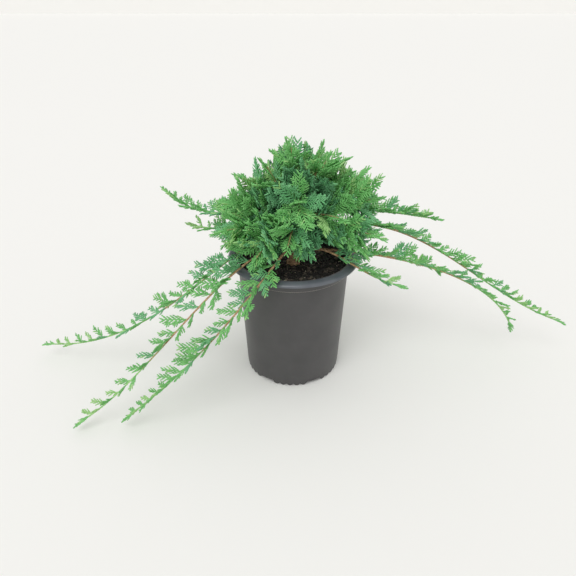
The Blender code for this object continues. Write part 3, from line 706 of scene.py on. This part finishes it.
def growSpray(store, rng, root, along, across, size, tint, tipTint):
    # a flat spray: an axis with fingers on both sides, shorter towards its tip
    normal = along.cross(across).normalized()
    arch = rng.uniform(*spray["arch"])
    layFinger(store, tint, root, along, normal, size, foliage["axisThickness"], arch)
    count = max(spray["fewestFingers"], round(size / foliage["fingerSpacing"]))
    footPart, footGrowth = spray["footLength"]
    lengthAtFoot, falling, lengthAtTip = spray["fingerLength"]
    for number in range(count):
        for side, start in ((1, spray["rightStart"]), (-1, spray["leftStart"])):
            share = (number + start) / (count + spray["end"])
            place = root + along * size * share + normal * size * arch * share ** 2
            length = size * (lengthAtFoot * (1 - share) ** falling + lengthAtTip)
            length *= rng.uniform(*spray["fingerRange"])
            length *= min(1.0, footPart + share * footGrowth)
            lean = math.radians(rng.uniform(*spray["lean"]))
            direction = along * math.cos(lean) + across * side * math.sin(lean)
            direction = (direction + normal * rng.uniform(*spray["lift"])).normalized()
            fresh = spray["freshChance"][0] + spray["freshChance"][1] * share ** 2
            mine = tipTint if rng.random() < fresh else tint
            thick = foliage["thickness"] * rng.uniform(*spray["thickRange"])
            layFinger(store, mine, place, direction, along, length, thick, rng.uniform(*spray["bend"]))
            if length >= foliage["subFingerFrom"]:
                growSubFingers(store, tint, place, direction, along, length, thick)


def growSubFingers(store, tint, place, direction, along, length, thick):
    inPlane = (along - direction * along.dot(direction)).normalized()
    forward, sideways = spray["subLean"]
    longest, falling = spray["subLength"]
    for part in spray["subParts"]:
        start = place + direction * length * part + inPlane * length * spray["subShift"] * part ** 2
        for way in (1, -1):
            branch = (direction * forward + inPlane * way * sideways).normalized()
            layFinger(store, tint, start, branch, direction, length * (longest - falling * part),
                      thick * spray["subThickness"], spray["subBend"])


class Spaces:
    # the limbs' paths, to keep sprays near their own limb and off the pot and the floor
    def __init__(self, limbs):
        starts, ends, owners = [], [], []
        for number, limb in enumerate(limbs):
            split = limb.bareEnd()
            places = [i / foliage["limbSamples"] for i in range(foliage["limbSamples"] + 1)]
            for here, there in zip(places, places[1:]):
                starts.append(limb.point(here))
                ends.append(limb.point(there))
                owners.append(number if there > split else -1)
        self.starts = np.array([tuple(point) for point in starts])
        self.runs = np.array([tuple(point) for point in ends]) - self.starts
        self.lengths = (self.runs ** 2).sum(axis=1)
        self.owners = np.array(owners)

    def isFree(self, spots, owner):
        out = np.hypot(spots[:, 0], spots[:, 1])
        high = spots[:, 2]
        room = foliage["potRoom"]
        inPot = (out < pot["rim"] + room) & (high < pot["height"] + room)
        inside = out < pot["wallTop"] - foliage["innerRoom"]
        overMix = inside & (high > mix["top"] + foliage["mixRoom"])
        if not ((~inPot | overMix) & (high > foliage["floorRoom"])).all():
            return False
        offset = spots[:, None, :] - self.starts[None, :, :]
        share = np.clip((offset * self.runs).sum(axis=2) / self.lengths, 0.0, 1.0)
        away = np.linalg.norm(offset - share[:, :, None] * self.runs, axis=2)
        own = away[:, self.owners == owner].min(axis=1)
        other = away[:, (self.owners != owner) & (self.owners >= 0)].min(axis=1)
        return bool((own < other + foliage["stray"]).all())


def frameOf(direction):
    # the directions beside and above a stem that runs this way
    side = direction.cross(Vector((0.0, 0.0, 1.0)))
    side = side.normalized() if side.length > foliage["uprightBelow"] else Vector((1.0, 0.0, 0.0))
    return side, side.cross(direction).normalized()


def spraySpots(root, along, across, size):
    # places along a spray's axis and out to its sides, to test that it is free
    last = spray["axisSpots"]
    spots = [root + along * size * i / last for i in range(spray["firstSpot"], last + 1)]
    for share, wide in spray["sideSpots"]:
        for side in (1, -1):
            spots.append(root + along * size * share + across * side * size * wide)
    return np.array([tuple(spot) for spot in spots])


def pickTints(limb, share, height, rng):
    # painted shade and light: a darker green inside the dome and low on it, brighter greens outwards
    # and at its top; yellow-green new growth towards the tips
    if limb.kind == "dome":
        if share < tintLimits["domeShadeShare"] or height < tintLimits["domeLow"]:
            return rng.choice(("shadeGreen", "shadeGreen", "blue")), "blue"
        if height > tintLimits["domeHigh"] or share > tintLimits["domeOuter"]:
            return rng.choice(("bright", "bright", "bright", "fresh", "blue")), "fresh"
        return rng.choice(("bright", "bright", "blue", "shadeGreen")), "bright"
    if share > tintLimits["runnerTip"]:
        return rng.choice(("bright", "fresh")), "fresh"
    return rng.choice(("bright", "bright", "blue")), rng.choice(("bright", "fresh", "fresh"))


def growMass(store, limb, owner, spaces):
    # sprays all along a stem, each turned and shortened until it is free, and one at the tip
    kind, isDome = kinds[limb.kind], limb.kind == "dome"
    rng = random.Random(seed + owner)
    first = limb.bareEnd()
    points = pathPoints(limb, first, 1.0, foliage["pointSpacing"])
    total = foliage["pointSpacing"] * (len(points) - 1)
    spacing = kind["spacing"] * thicker.get(limb.name, 1.0)
    turns = foliage["domeTries" if isDome else "runnerTries"]
    station, number = spacing * foliage["firstStation"], 0
    while station < total - kind["tipSpray"]:
        index = min(len(points) - 2, int(station / foliage["pointSpacing"]))
        root, run = points[index], (points[index + 1] - points[index]).normalized()
        beside, above = frameOf(run)
        share = station / total
        size = kind["spray"] * (1 - kind["taper"] * share ** foliage["taperCurve"])
        size *= rng.uniform(*foliage["sizeRange"])
        if isDome:
            jitter = rng.uniform(-foliage["domeJitter"], foliage["domeJitter"])
            turn = number * math.radians(foliage["goldenAngle"]) + jitter
        else:
            turn = math.radians(rng.uniform(*foliage["runnerTurn"]))
            turn = turn if number % 2 else math.pi - turn
        lean = math.radians(kind["spread"] * rng.uniform(*foliage["leanRange"]))
        twist = rng.uniform(-foliage["twist"], foliage["twist"])
        twist = math.radians(twist + (90 if isDome else 0))
        tint, tipTint = pickTints(limb, share, root.z, rng)
        for shrink, more in ((shrink, more) for shrink in foliage["shrinks"] for more in turns):
            outward = beside * math.cos(turn + more) + above * math.sin(turn + more)
            along = (run * math.cos(lean) + outward * math.sin(lean)).normalized()
            across = (run - along * run.dot(along)).normalized()
            across = Matrix.Rotation(twist, 3, along) @ across
            if spaces.isFree(spraySpots(root, along, across, size * shrink), owner):
                growSpray(store, rng, root, along, across, size * shrink, tint, tipTint)
                break
        station += spacing * rng.uniform(*foliage["spacingRange"])
        number += 1
    foot = points[-1 - round(kind["tipSpray"] / foliage["pointSpacing"])]
    way = points[-1] - foot
    beside = frameOf((points[-1] - points[-2]).normalized())[0]
    growSpray(store, rng, foot, way.normalized(), beside, way.length, "bright", "fresh")
    stemFrom = first + (1 - first) * foliage["youngStemFrom"]
    stemTo = 1.0 - foliage["youngStemStop"] * kind["tipSpray"] / total
    stem = pathPoints(limb, stemFrom, stemTo, foliage["youngStemStep"])
    for here, there in zip(stem, stem[1:]):     # the young stem is clad in scales too
        step = there - here
        layFinger(store, "bright" if isDome else "fresh", here, step.normalized(), Vector((0, 0, 1)),
                  step.length * foliage["youngStemOverlap"], foliage["youngStemThickness"], 0.0)


def makeFoliage(limbs):
    spaces = Spaces(limbs)
    store = {tint: [] for tint in tints}
    for owner, limb in enumerate(limbs):
        growMass(store, limb, owner, spaces)
    shape, shapeFaces = scaleTube(foliage["scaleRings"])
    perPiece = foliage["pieceTriangles"] // len(shapeFaces)
    for tint, rows in store.items():
        rows = np.array(rows)
        material = makeMaterial(tint + " leaves", *tints[tint], *foliage["leafFinish"])
        for number, first in enumerate(range(0, len(rows), perPiece)):
            part = rows[first:first + perPiece]
            length, thick, bend = part[:, 12, None], part[:, 13, None], part[:, 14, None]
            x, y, z = shape[:, 0], shape[:, 1], shape[:, 2]
            verts = (part[:, None, 0:3] + part[:, None, 3:6] * (length * x)[..., None]
                     + part[:, None, 6:9] * (thick * y + length * bend * x ** 2)[..., None]
                     + part[:, None, 9:12] * (thick * z)[..., None]).reshape(-1, 3)
            faces = shapeFaces[None] + (np.arange(len(part)) * len(shape))[:, None, None]
            meshObject(f"sprays_{tint}_{number + 1}", verts + np.array(potAxis),
                                     faces.reshape(-1, 3), material, "foliage")
        print("foliage", tint, len(rows), "branchlets,", len(rows) * len(shapeFaces), "triangles")
    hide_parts(*(limb.name for limb in limbs))


makeStage()
print("stage is set")
mottleGroup = makeMottleGroup()
makePot()
print("pot is made")
makeSoil()
print("mix is filled in")
allLimbs = [Limb(*row) for row in limbRows]
makeBark(allLimbs)
print("trunk, boughs and twigs are made")
makeFoliage(allLimbs)
print("sprays are made")
